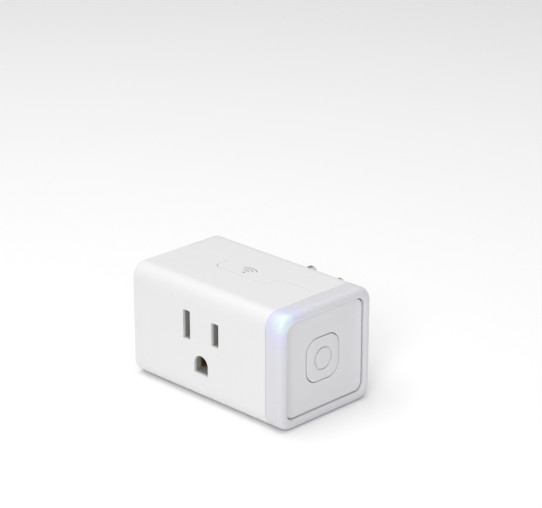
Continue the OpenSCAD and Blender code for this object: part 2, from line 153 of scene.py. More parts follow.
class Shaper:
    """One mesh that is shaped in edit mode from simple primitives."""

    def __init__(self, name: str) -> None:
        """Adds an empty mesh at the origin and opens it.

        Args:
            name: the piece's name.
        """
        select_nothing()
        bpy.ops.object.add(type="MESH")
        self.piece = bpy.context.object
        self.piece.name = name
        self.piece.data.name = name
        self.side = Side.RIGHT
        bpy.ops.object.mode_set(mode="EDIT")

    def choose(self, element: Element, test: Callable[[Vector, Vector], bool], rim: bool = False) -> None:
        """Selects the elements that pass a test, and nothing else.

        Args:
            element: faces, edges or vertices.
            test: takes an element's middle and its direction (a face's or vertex's normal, or an
                edge's own direction) and says whether to select it.
            rim: take only edges at the border of an open face.
        """
        bpy.ops.mesh.select_mode(type=element.value)
        bpy.ops.mesh.select_all(action="DESELECT")
        mesh = bmesh.from_edit_mesh(self.piece.data)
        if element is Element.FACES:
            found = [f for f in mesh.faces if test(f.calc_center_bounds(), f.normal)]
        elif element is Element.EDGES:
            edges = [e for e in mesh.edges if len(e.link_faces) < 2 or not rim]
            ends = [(e, e.verts[0].co, e.verts[1].co) for e in edges]
            found = [e for e, a, b in ends if test((a + b) / 2, (b - a).normalized())]
        else:
            found = [v for v in mesh.verts if test(v.co, v.normal)]
        if not found:
            raise ValueError(f"{self.piece.name}: nothing to select")
        for item in found:
            item.select_set(True)
        mesh.select_flush_mode()
        bmesh.update_edit_mesh(self.piece.data)

    def choose_plate(self, side: Side, place: Vector) -> None:
        """Selects the flat face nearest to a place that faces a side, and works on it from now on."""
        mesh = bmesh.from_edit_mesh(self.piece.data)
        level = place.dot(side.way)
        flat = [f for f in mesh.faces if f.normal.dot(side.way) > 0.99]
        gap = min(abs(f.calc_center_bounds().dot(side.way) - level) for f in flat)
        near = [f for f in flat if abs(f.calc_center_bounds().dot(side.way) - level) < gap + 1e-7]
        best = max(near, key=lambda f: f.calc_area())
        bpy.ops.mesh.select_mode(type=Element.FACES.value)
        bpy.ops.mesh.select_all(action="DESELECT")
        best.select_set(True)
        bmesh.update_edit_mesh(self.piece.data)
        self.side = side

    def plate(self, side: Side, middle: Vector, size: Vector, radius: float,
              steps: int = CORNER_STEPS) -> None:
        """Adds a flat plate with round corners and selects it.

        Args:
            side: the way the plate faces.
            middle: its middle.
            size: its size along X, Y and Z; the one along the side is ignored.
            radius: the radius of its corners, or 0 for square ones.
            steps: the facets of each corner.
        """
        bpy.ops.mesh.select_mode(type=Element.VERTS.value)
        bpy.ops.mesh.select_all(action="DESELECT")
        bpy.ops.mesh.primitive_plane_add(size=1, location=middle, rotation=side.turn)
        stretch = [1 if abs(side.way[i]) > 0.5 else size[i] for i in range(3)]
        bpy.ops.transform.resize(value=stretch, center_override=middle)
        if radius:
            bpy.ops.mesh.bevel(offset=radius, offset_pct=0, segments=steps, profile=0.5,
                               affect="VERTICES", clamp_overlap=False)
        self.choose_plate(side, middle)

    def disc(self, side: Side, middle: Vector, radius: float, count: int = 4 * (CORNER_STEPS + 1)) -> None:
        """Adds a filled circle and selects it.

        Args:
            side: the way the disc faces.
            middle: its middle.
            radius: its radius.
            count: its corners.
        """
        bpy.ops.mesh.select_all(action="DESELECT")
        bpy.ops.mesh.primitive_circle_add(vertices=count, radius=radius, fill_type="NGON",
                                          location=middle, rotation=side.turn)
        self.choose_plate(side, middle)

    def block(self, low: Vector, high: Vector) -> None:
        """Adds a box between two corners."""
        bpy.ops.mesh.select_all(action="DESELECT")
        bpy.ops.mesh.primitive_cube_add(size=1, location=(low + high) / 2, scale=high - low)

    def extrude(self, distance: float) -> None:
        """Pushes the selected face out along its side, or in if the distance is negative."""
        way = self.side.way * distance
        bpy.ops.mesh.extrude_region_move(TRANSFORM_OT_translate={"value": way})

    def inset(self, width: float) -> None:
        """Draws the selected face in by a width, level with itself."""
        bpy.ops.mesh.inset(thickness=width, depth=0, use_boundary=True, use_even_offset=True)

    def follow(self, profile: Iterable[tuple[float, float]]) -> None:
        """Draws the selected face in along a profile of (inset, rise) points."""
        last_inset, last_rise = 0.0, 0.0
        for inset, rise in profile:
            bpy.ops.mesh.inset(thickness=inset - last_inset, depth=rise - last_rise,
                               use_boundary=True, use_even_offset=True)
            last_inset, last_rise = inset, rise

    def drop_face(self) -> None:
        """Deletes the selected face and keeps its edges."""
        bpy.ops.mesh.delete(type="ONLY_FACE")

    def bridge(self, test: Callable[[Vector, Vector], bool]) -> None:
        """Joins two open rims with faces.

        Args:
            test: picks the rims' edges by their middle and direction.
        """
        self.choose(Element.EDGES, test, rim=True)
        bpy.ops.mesh.bridge_edge_loops()

    def loft(self, side: Side, loops: list[tuple[Vector, Vector, float]]) -> None:
        """Lays a skin over a row of rounded outlines, each at its own level.

        Args:
            side: the way that the outlines face.
            loops: the middle, size and corner radius of each; the first one is an open rim already.
        """
        way, lift = side.way, side.way * 5 * MM
        for (start, _, _), (middle, size, radius) in zip(loops, loops[1:]):
            # The new outline is bridged from well below its place, where no two levels are close
            low = middle - lift
            self.plate(side, low, size, radius)
            self.drop_face()
            levels = (start.dot(way), low.dot(way))
            self.bridge(lambda at, _, levels=levels: min(abs(at.dot(way) - level) for level in levels) < 1e-7)
            self.choose(Element.VERTS, lambda at, _, level=levels[1]: abs(at.dot(way) - level) < 1e-6)
            bpy.ops.transform.translate(value=lift)

    def round_edges(self, test: Callable[[Vector, Vector], bool], radius: float, steps: int = 5) -> None:
        """Rounds the edges that pass a test.

        Args:
            test: picks the edges by their middle and direction.
            radius: the radius of the round.
            steps: how many facets it has.
        """
        self.choose(Element.EDGES, test)
        bpy.ops.mesh.bevel(offset=radius, offset_pct=0, segments=steps, profile=0.5,
                           affect="EDGES", clamp_overlap=False)

    def slice(self, place: Vector, way: Vector) -> None:
        """Adds edges all round where a plane meets the mesh."""
        bpy.ops.mesh.select_all(action="SELECT")
        bpy.ops.mesh.bisect(plane_co=place, plane_no=way)

    def close(self) -> bpy.types.Object:
        """Merges doubles, removes loose edges, turns the faces outwards and leaves edit mode.

        Returns:
            The finished object.
        """
        bpy.ops.mesh.select_mode(type=Element.VERTS.value)
        bpy.ops.mesh.select_all(action="SELECT")
        bpy.ops.mesh.remove_doubles(threshold=1e-7)
        bpy.ops.mesh.delete_loose()
        bpy.ops.mesh.normals_make_consistent(inside=False)
        bpy.ops.object.mode_set(mode="OBJECT")
        return self.piece


def combine(piece: bpy.types.Object, tool: bpy.types.Object, cut: Cut) -> None:
    """Cuts, joins or trims a piece with a tool solid, and throws the tool away.

    Args:
        piece: the solid that is changed.
        tool: the other solid.
        cut: what is done.
    """
    make_active(piece)
    modifier = piece.modifiers.new(cut.name, "BOOLEAN")
    modifier.object = tool
    modifier.operation = cut.value
    modifier.solver = "EXACT"
    bpy.ops.object.modifier_apply(modifier=modifier.name)
    bpy.data.objects.remove(tool)


def copy_of(piece: bpy.types.Object, name: str) -> bpy.types.Object:
    """Copies a piece with its mesh.

    Args:
        piece: what is copied.
        name: the copy's name.

    Returns:
        The copy.
    """
    make_active(piece)
    bpy.ops.object.duplicate()
    copy = bpy.context.object
    copy.name = name
    copy.data.name = name
    return copy


def soften(piece: bpy.types.Object, radius: float = 0.0, steps: int = 2, angle_deg: float = 35) -> None:
    """Rounds the sharp edges a little and shades the piece smoothly.

    Args:
        piece: the piece.
        radius: the radius of the round on sharp edges, or 0 for none.
        steps: how many facets the round has.
        angle_deg: edges sharper than this are rounded.
    """
    make_active(piece)
    if radius:
        bevel = piece.modifiers.new("edge_round", "BEVEL")
        bevel.width = radius
        bevel.segments = steps
        bevel.limit_method = "ANGLE"
        bevel.angle_limit = math.radians(angle_deg)
        bevel.use_clamp_overlap = False
        bpy.ops.object.modifier_apply(modifier=bevel.name)
    bpy.ops.object.shade_smooth_by_angle(angle=math.radians(40))
    weight = piece.modifiers.new("even_shading", "WEIGHTED_NORMAL")
    weight.keep_sharp = True
    bpy.ops.object.modifier_apply(modifier=weight.name)


# Finishes


def linear(hex_colour: str) -> tuple[float, float, float, float]:
    """Turns an sRGB hex colour to linear light.

    Args:
        hex_colour: six hex digits.

    Returns:
        Red, green, blue and alpha.
    """
    parts = [int(hex_colour[i:i + 2], 16) / 255 for i in (0, 2, 4)]
    return (*(c / 12.92 if c <= 0.04045 else ((c + 0.055) / 1.055) ** 2.4 for c in parts), 1.0)


def add_node(tree: bpy.types.NodeTree, kind: str, settings: dict | None = None,
             links: dict | None = None) -> bpy.types.Node:
    """Adds a shader node.

    Args:
        tree: the material's node tree.
        kind: the node's type name.
        settings: values by socket name, socket number or property name.
        links: sources by socket name or number.

    Returns:
        The node.
    """
    node = tree.nodes.new(kind)
    for key, value in (settings or {}).items():
        if isinstance(key, int) or key in node.inputs:
            node.inputs[key].default_value = value
        else:
            setattr(node, key, value)
    for key, source in (links or {}).items():
        tree.links.new(source, node.inputs[key])
    return node


@dataclass(frozen=True)
class Finish:
    """What every finish has: a name, a colour and a roughness."""

    name: str
    colour: str
    roughness: float

    def start(self, settings: dict | None = None
              ) -> tuple[bpy.types.NodeTree, bpy.types.Node, bpy.types.NodeSocket]:
        """Makes the material and its shader.

        Args:
            settings: more values for the shader's sockets.

        Returns:
            The node tree, the shader and the object coordinates.
        """
        material = bpy.data.materials.new(self.name)
        material.use_nodes = True
        tree = material.node_tree
        shader = tree.nodes["Principled BSDF"]
        shader.inputs["Base Color"].default_value = linear(self.colour)
        shader.inputs["Roughness"].default_value = self.roughness
        for key, value in (settings or {}).items():
            shader.inputs[key].default_value = value
        return tree, shader, add_node(tree, "ShaderNodeTexCoord").outputs["Object"]

    def drift_colour(self, tree: bpy.types.NodeTree, shader: bpy.types.Node, place: bpy.types.NodeSocket,
                     size_mm: float, depth: float, detail: float) -> None:
        """Lets the colour darken and lighten in soft clouds.

        Args:
            tree: the node tree.
            shader: the shader.
            place: the object coordinates.
            size_mm: the size of the clouds.
            depth: how much darker they get, as a share.
            detail: how ragged they are.
        """
        cloud = add_node(tree, "ShaderNodeTexNoise", {"Scale": 1 / (size_mm * MM), "Detail": detail},
                         {"Vector": place})
        shade = add_node(tree, "ShaderNodeMapRange", {"To Min": 1 - depth, "To Max": 1.0},
                         {"Value": cloud.outputs["Fac"]})
        tint = add_node(tree, "ShaderNodeVectorMath", {"operation": "SCALE", 0: linear(self.colour)[:3]},
                        {"Scale": shade.outputs["Result"]})
        tree.links.new(tint.outputs["Vector"], shader.inputs["Base Color"])

    def raise_grain(self, tree: bpy.types.NodeTree, shader: bpy.types.Node, grain: bpy.types.NodeSocket,
                    spread: tuple[float, float], relief_mm: float, strength: float) -> None:
        """Lets a grain vary the roughness and stand out as a bump.

        Args:
            tree: the node tree.
            shader: the shader.
            grain: the grain's value.
            spread: the lowest and the highest roughness, as shares of the finish's own.
            relief_mm: the height of the bump.
            strength: how strongly it shows.
        """
        rough = add_node(tree, "ShaderNodeMapRange",
                         {"To Min": self.roughness * spread[0], "To Max": self.roughness * spread[1]},
                         {"Value": grain})
        bump = add_node(tree, "ShaderNodeBump", {"Strength": strength, "Distance": relief_mm * MM},
                        {"Height": grain})
        tree.links.new(rough.outputs["Result"], shader.inputs["Roughness"])
        tree.links.new(bump.outputs["Normal"], shader.inputs["Normal"])

    def build(self) -> bpy.types.Material:
        """Returns the finished material."""
        raise NotImplementedError


@dataclass(frozen=True)
class MouldedPlastic(Finish):
    """Injection-moulded plastic: a fine spark-eroded grain, and tone that drifts a little with the flow."""

    grain_mm: float = 0.35
    relief_mm: float = 0.004
    drift: float = 0.03
    flow_mm: float = 16.0
    coat: float = 0.0

    def build(self) -> bpy.types.Material:
        """Returns the plastic's material."""
        tree, shader, place = self.start({"IOR": 1.53, "Coat Weight": self.coat, "Coat Roughness": 0.12})
        self.drift_colour(tree, shader, place, self.flow_mm, self.drift, 2.0)
        grain = add_node(tree, "ShaderNodeTexNoise", {"Scale": 1 / (self.grain_mm * MM), "Detail": 4.0},
                         {"Vector": place})
        self.raise_grain(tree, shader, grain.outputs["Fac"], (0.88, 1.12), self.relief_mm, 0.5)
        return bpy.data.materials[self.name]


@dataclass(frozen=True)
class FrostedDiffuser(Finish):
    """Milky polycarbonate over a lamp: light spreads inside it and shows at the corner nearest the lamp."""

    core: str = "326570"
    halo: str = "060669"
    fringe: str = "02023E"
    lamp: tuple[float, float, float] = (0.0, 0.0, 0.0)
    core_mm: float = 2.2
    halo_mm: float = 4.8
    fringe_mm: float = 9.0
    reach_mm: float = 15.0

    def build(self) -> bpy.types.Material:
        """Returns the diffuser's material."""
        tree, shader, place = self.start({
            "IOR": 1.58, "Subsurface Weight": 0.35, "Subsurface Radius": (1.0, 1.0, 1.0),
            "Subsurface Scale": 2.0 * MM, "Coat Weight": 0.15, "Coat Roughness": 0.2,
            "Emission Strength": 1.0})
        reach = add_node(tree, "ShaderNodeVectorMath", {"operation": "DISTANCE", 1: self.lamp}, {0: place})
        milk = add_node(tree, "ShaderNodeTexNoise", {"Scale": 1 / (3 * MM), "Detail": 3.0},
                        {"Vector": place})
        cloud = add_node(tree, "ShaderNodeMapRange", {"To Min": 0.92 / (self.reach_mm * MM),
                                                      "To Max": 1.08 / (self.reach_mm * MM)},
                         {"Value": milk.outputs["Fac"]})
        share = add_node(tree, "ShaderNodeMath", {"operation": "MULTIPLY"},
                         {0: reach.outputs["Value"], 1: cloud.outputs["Result"]})
        light = add_node(tree, "ShaderNodeValToRGB", None, {"Fac": share.outputs["Value"]})
        stops = ((0.0, self.core), (self.core_mm / self.reach_mm, self.core),
                 (self.halo_mm / self.reach_mm, self.halo),
                 (self.fringe_mm / self.reach_mm, self.fringe), (1.0, "000000"))
        light.color_ramp.interpolation = "EASE"
        for at, _ in stops[1:-1]:
            light.color_ramp.elements.new(at)
        for element, (at, colour) in zip(light.color_ramp.elements, stops):
            element.position = at
            element.color = linear(colour)
        tree.links.new(light.outputs["Color"], shader.inputs["Emission Color"])
        frost = add_node(tree, "ShaderNodeTexNoise", {"Scale": 1 / (0.3 * MM), "Detail": 3.0},
                         {"Vector": place})
        self.raise_grain(tree, shader, frost.outputs["Fac"], (0.9, 1.1), 0.003, 0.4)
        return bpy.data.materials[self.name]


@dataclass(frozen=True)
class RolledMetal(Finish):
    """Rolled or plated sheet: fine lines along the way it was rolled, and slight stains in the plating."""

    along: tuple[float, float, float] = (0.08, 1.0, 1.0)
    line_mm: float = 0.15
    relief_mm: float = 0.003
    stain: float = 0.12

    def build(self) -> bpy.types.Material:
        """Returns the metal's material."""
        tree, shader, place = self.start({"Metallic": 1.0})
        turned = add_node(tree, "ShaderNodeMapping", {"Scale": self.along}, {"Vector": place})
        lines = add_node(tree, "ShaderNodeTexNoise", {"Scale": 1 / (self.line_mm * MM), "Detail": 3.0},
                         {"Vector": turned.outputs["Vector"]})
        self.drift_colour(tree, shader, place, 4.0, self.stain, 3.0)
        self.raise_grain(tree, shader, lines.outputs["Fac"], (0.8, 1.25), self.relief_mm, 0.4)
        return bpy.data.materials[self.name]


@dataclass(frozen=True)
class WoundWire(Finish):
    """Enamelled wire laid turn by turn: ridges one wire apart, each with a bright crown in the wire's own
    colour and a dark gap of painted shade.
    """

    # The colour of the painted shade between the turns, and of the tape's darker lap lines
    gap_shade_and_lap_colour: str = "3A1508"
    pitch_mm: float = 0.3
    direction: str = "Z"
    metallic: float = 0.7

    def build(self) -> bpy.types.Material:
        """Returns the winding's material. The wire is drawn thicker than the real 0.1 mm, so it shows."""
        tree, shader, place = self.start({"Metallic": self.metallic, "Coat Weight": 0.4,
                                          "Coat Roughness": 0.15})
        turns = add_node(tree, "ShaderNodeTexWave",
                         {"bands_direction": self.direction, "Scale": 0.314 / (self.pitch_mm * MM),
                          "Distortion": 0.4, "Detail": 1.0, "Detail Scale": 0.5}, {"Vector": place})
        # The wave's troughs take the gap colour: painted shade between the turns, mixed into the base colour
        tint = add_node(tree, "ShaderNodeMix",
                        {"data_type": "RGBA", 6: linear(self.gap_shade_and_lap_colour), 7: linear(self.colour)},
                        {0: turns.outputs["Fac"]})
        bump = add_node(tree, "ShaderNodeBump", {"Strength": 0.8, "Distance": 0.05 * MM},
                        {"Height": turns.outputs["Fac"]})
        tree.links.new(tint.outputs[2], shader.inputs["Base Color"])
        tree.links.new(bump.outputs["Normal"], shader.inputs["Normal"])
        return bpy.data.materials[self.name]


@dataclass(frozen=True)
class CoatedBoard(Finish):
    """Glass-cloth circuit board under solder mask: raised copper tracks, and the cloth's weave between."""

    track: str = "2F7D4A"
    track_mm: float = 1.6

    def build(self) -> bpy.types.Material:
        """Returns the board's material."""
        tree, shader, place = self.start({"IOR": 1.5, "Coat Weight": 0.5, "Coat Roughness": 0.1})
        cells = add_node(tree, "ShaderNodeTexVoronoi",
                         {"feature": "DISTANCE_TO_EDGE", "distance": "EUCLIDEAN", "Randomness": 0.75,
                          "Scale": 1 / (2 * self.track_mm * MM)}, {"Vector": place})
        copper = add_node(tree, "ShaderNodeMapRange",
                          {"From Min": 0.07, "From Max": 0.10, "To Min": 1.0, "To Max": 0.0},
                          {"Value": cells.outputs["Distance"]})
        weave = add_node(tree, "ShaderNodeTexChecker", {"Scale": 1 / (0.35 * MM)}, {"Vector": place})
        cloth = add_node(tree, "ShaderNodeMath", {"operation": "MULTIPLY", 1: 0.15},
                         {0: weave.outputs["Fac"]})
        height = add_node(tree, "ShaderNodeMath", {"operation": "ADD"},
                          {0: copper.outputs["Result"], 1: cloth.outputs["Value"]})
        tint = add_node(tree, "ShaderNodeMix",
                        {"data_type": "RGBA", 6: linear(self.colour), 7: linear(self.track)},
                        {0: height.outputs["Value"]})
        bump = add_node(tree, "ShaderNodeBump", {"Strength": 0.6, "Distance": 0.035 * MM},
                        {"Height": height.outputs["Value"]})
        tree.links.new(tint.outputs[2], shader.inputs["Base Color"])
        tree.links.new(bump.outputs["Normal"], shader.inputs["Normal"])
        return bpy.data.materials[self.name]


@dataclass(frozen=True)
class FiredCeramic(Finish):
    """Sintered or dipped ceramic: fine speckle with a few pits."""

    speckle: str = "2A2A2C"
    speck_mm: float = 0.3

    def build(self) -> bpy.types.Material:
        """Returns the ceramic's material."""
        tree, shader, place = self.start({"IOR": 1.6})
        specks = add_node(tree, "ShaderNodeTexNoise", {"Scale": 1 / (self.speck_mm * MM), "Detail": 6.0},
                          {"Vector": place})
        share = add_node(tree, "ShaderNodeMapRange", {"From Min": 0.45, "From Max": 0.7},
                         {"Value": specks.outputs["Fac"]})
        tint = add_node(tree, "ShaderNodeMix",
                        {"data_type": "RGBA", 6: linear(self.colour), 7: linear(self.speckle)},
                        {0: share.outputs["Result"]})
        bump = add_node(tree, "ShaderNodeBump", {"Strength": 0.5, "Distance": 0.02 * MM},
                        {"Height": specks.outputs["Fac"]})
        tree.links.new(tint.outputs[2], shader.inputs["Base Color"])
        tree.links.new(bump.outputs["Normal"], shader.inputs["Normal"])
        return bpy.data.materials[self.name]


@dataclass(frozen=True)
class ClearAcrylic(Finish):
    """Polished acrylic that carries light: clear, with faint flow lines from moulding."""

    def build(self) -> bpy.types.Material:
        """Returns the acrylic's material."""
        tree, shader, place = self.start({"IOR": 1.49, "Transmission Weight": 0.92})
        flow = add_node(tree, "ShaderNodeTexNoise", {"Scale": 1 / (2 * MM), "Detail": 2.0},
                        {"Vector": place})
        self.raise_grain(tree, shader, flow.outputs["Fac"], (0.7, 1.3), 0.01, 0.2)
        return bpy.data.materials[self.name]


class FinishShelf:
    """The finish of each material slot in the record."""

    def __init__(self, lamp: Vector) -> None:
        """Builds every finish once.

        Args:
            lamp: where the ring's lamp shines into the ring.
        """
        self.materials = {slot: finish.build() for slot, finish in self.finishes(lamp).items()}
        self.slots = {part["node"]: part["material_slot"] for part in frame["record"]["subparts"]}

    @staticmethod
    def finishes(lamp: Vector) -> dict[str, Finish]:
        """Lists the finishes by slot.

        Args:
            lamp: where the ring's lamp shines into the ring.

        Returns:
            A finish for each slot name.
        """
        # Satin white ABS, moulded against a fine texture, so highlights are broad and soft
        white_abs = MouldedPlastic("white_abs_satin", "E8E8E8", 0.34, grain_mm=0.3, relief_mm=0.003,
                                   drift=0.012, coat=0.08)
        # Light grey ABS of the end panel, a shade cooler and duller than the case
        grey_abs = MouldedPlastic("grey_abs_satin", "E0E0E2", 0.4, grain_mm=0.3, relief_mm=0.003,
                                  drift=0.015)
        # The button is moulded from the same grey in a smoother tool
        button_abs = MouldedPlastic("button_abs_satin", "DEDEE0", 0.36, grain_mm=0.25, relief_mm=0.002,
                                    drift=0.012, coat=0.05)
        # Milky polycarbonate ring, lit from behind at one corner
        ring = FrostedDiffuser("frosted_polycarbonate", "D9D9DD", 0.38, lamp=tuple(lamp))
        return {
            "white_shell": white_abs,
            # Pad-printed ink: matte, and a little uneven where the pad lifted
            "mark_ink": MouldedPlastic("pad_printed_ink", "AFB0B4", 0.55, grain_mm=0.2, relief_mm=0.001,
                                       drift=0.06, flow_mm=2),
            "frosted_ring": ring,
            "panel_plastic": grey_abs,
            "button_plastic": button_abs,
            # Nickel on brass: warm silver with drawing lines along the prong
            "nickel_plate": RolledMetal("nickel_plated_brass", "D3CFC5", 0.24, along=(1.0, 0.05, 1.0)),
            # Phosphor bronze strip, as rolled, springy and a little dull
            "spring_bronze": RolledMetal("phosphor_bronze", "C79A62", 0.33, along=(1.0, 0.06, 1.0)),
            # Copper strip dulled by tinning
            "copper_strip": RolledMetal("tinned_copper", "C88A66", 0.38, along=(1.0, 0.06, 1.0),
                                        stain=0.25),
            # Natural nylon of the block behind the slots, so the walls of the slots look pale grey
            "pale_insulator": MouldedPlastic("natural_nylon", "A6A6A2", 0.5, grain_mm=0.2, relief_mm=0.006,
                                             drift=0.08, flow_mm=6),
            # Glass-filled nylon of the inner insulators, dark and matte
            "dark_insulator": MouldedPlastic("glass_filled_nylon", "1E1E20", 0.62, grain_mm=0.2,
                                             relief_mm=0.012, drift=0.2, flow_mm=6),
            # Solder mask over glass cloth: green on the plug's own boards, blue on the bought-in radio board
            "board_green": CoatedBoard("green_solder_mask", "12502F", 0.35),
            "board_blue": CoatedBoard("blue_solder_mask", "122A5C", 0.35, track="2E4F96", track_mm=0.8),
            # Polyester relay cover, glossy and deep blue
            "relay_blue": MouldedPlastic("blue_polyester", "1D4C92", 0.22, grain_mm=0.4, drift=0.08,
                                         coat=0.3),
            # Undyed nylon of the relay's bobbin: ivory, with a fine grain
            "bobbin_ivory": MouldedPlastic("ivory_nylon", "D8CFB4", 0.5, grain_mm=0.2, relief_mm=0.008,
                                           drift=0.06),
            # Enamelled copper, orange-brown and glossy, with painted shade between the turns
            "enamelled_wire": WoundWire("enamelled_copper_wire", "C4632C", 0.3),
            # Soft iron with a thin zinc finish
            "core_steel": RolledMetal("zinc_plated_iron", "B4B4B0", 0.36, along=(0.1, 1.0, 1.0), stain=0.2),
            # Ferrite: dark grey, dull and a little pitted
            "ferrite": FiredCeramic("sintered_ferrite", "2B2B2F", 0.55, speckle="57575C", speck_mm=0.25),
            # Polyester tape wrapped over the winding: glossy yellow with lap lines in a darker yellow, partly
            # the double layer's own tone and partly painted shade at each lap
            "winding_tape": WoundWire("yellow_polyester_tape", "E3B62B", 0.3, gap_shade_and_lap_colour="B98A12",
                                      pitch_mm=1.9, metallic=0.0),
            # Heat-shrunk sleeve on the capacitor cans
            "can_sleeve": MouldedPlastic("shrink_sleeve", "1A2140", 0.28, grain_mm=0.8, relief_mm=0.01,
                                         drift=0.15, coat=0.4),
            # The line capacitor's box, and the fuse's and the varistor's fired or dipped coats
            "film_yellow": MouldedPlastic("yellow_potting_box", "E0B32E", 0.35, grain_mm=0.3, drift=0.06),
            "fuse_ceramic": FiredCeramic("fuse_ceramic", "DDD6C6", 0.4, speckle="C9BFAA"),
            "varistor_blue": FiredCeramic("dipped_epoxy", "1E4C9C", 0.3, speckle="2F63BC", speck_mm=0.6),
            # Matte black packages of the chips, and the smoother nylon of the switch
            "chip_black": MouldedPlastic("moulded_epoxy", "151516", 0.55, grain_mm=0.12, relief_mm=0.01,
                                         drift=0.2),
            "switch_black": MouldedPlastic("black_nylon", "1B1B1C", 0.48, grain_mm=0.2, relief_mm=0.006,
                                           drift=0.15),
            # Bright spring sheet of the dome, tinned sheet of the radio's can, zinc on the screws
            "spring_steel": RolledMetal("stainless_spring_sheet", "C6C6C8", 0.2, along=(1.0, 0.1, 1.0)),
            "tinned_sheet": RolledMetal("tinned_steel_sheet", "C4C4C2", 0.3, along=(1.0, 1.0, 0.08),
                                        stain=0.15),
            "screw_zinc": RolledMetal("zinc_plated_steel", "BEBDB4", 0.3, along=(1.0, 1.0, 1.0),
                                      line_mm=0.3),
            # The lamp's white package, and the clear bar that carries its light to the ring
            "led_white": MouldedPlastic("lamp_package", "E9E8DC", 0.45, grain_mm=0.15, drift=0.04),
            "clear_guide": ClearAcrylic("clear_acrylic", "EAF6FA", 0.08),
        }

    def dress(self, piece: bpy.types.Object, slot: str) -> None:
        """Puts a slot's finish on a piece.

        Args:
            piece: the piece.
            slot: the slot's name.
        """
        piece.data.materials.clear()
        piece.data.materials.append(self.materials[slot])


@dataclass
class Plug:
    """Places and sizes that the outer pieces share, read from the frame."""

    corner: float = 5.2 * MM
    end_round: float = 1.6 * MM
    wall: float = 2.0 * MM
    seam: float = 0.1 * MM
    tongue: float = 6.1 * MM

    def __post_init__(self) -> None:
        """Reads the case's faces from the CAD nodes."""
        front_low, front_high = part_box("front_housing")
        rear_low, rear_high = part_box("rear_cover")
        self.left, self.seam_x = front_low.x, front_high.x
        self.front, self.back = front_low.y, rear_high.y
        self.bottom, self.top = front_low.z, front_high.z
        self.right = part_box("light_ring")[1].x
        self.tongue_front = rear_low.y
        self.parting = rear_low.y + self.tongue
        self.middle = Vector(((self.left + self.right) / 2, (self.front + self.back) / 2,
                              (self.bottom + self.top) / 2))
        self.section = Vector((0, self.back - self.front, self.top - self.bottom))

    def at(self, x: float) -> Vector:
        """Returns the middle of the case's cross-section at a place along it."""
        return Vector((x, self.middle.y, self.middle.z))

    def inner(self, inset: float) -> Vector:
        """Returns the cross-section's size, drawn in by an inset all round."""
        return self.section - Vector((0, 2 * inset, 2 * inset))


def deliver(piece: bpy.types.Object, body: Body, slot: str, shelf: FinishShelf, *replaced: str) -> None:
    """Gives a finished piece its finish, its body and the CAD nodes it stands for.

    Args:
        piece: the finished piece.
        body: the body it moves with.
        slot: its material slot.
        shelf: the finishes.
        replaced: the CAD nodes that it replaces.
    """
    shelf.dress(piece, slot)
    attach(piece, body.value)
    if replaced:
        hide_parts(*replaced)
    log.info("%s: %d faces, on %s", piece.name, len(piece.data.polygons), body.value)


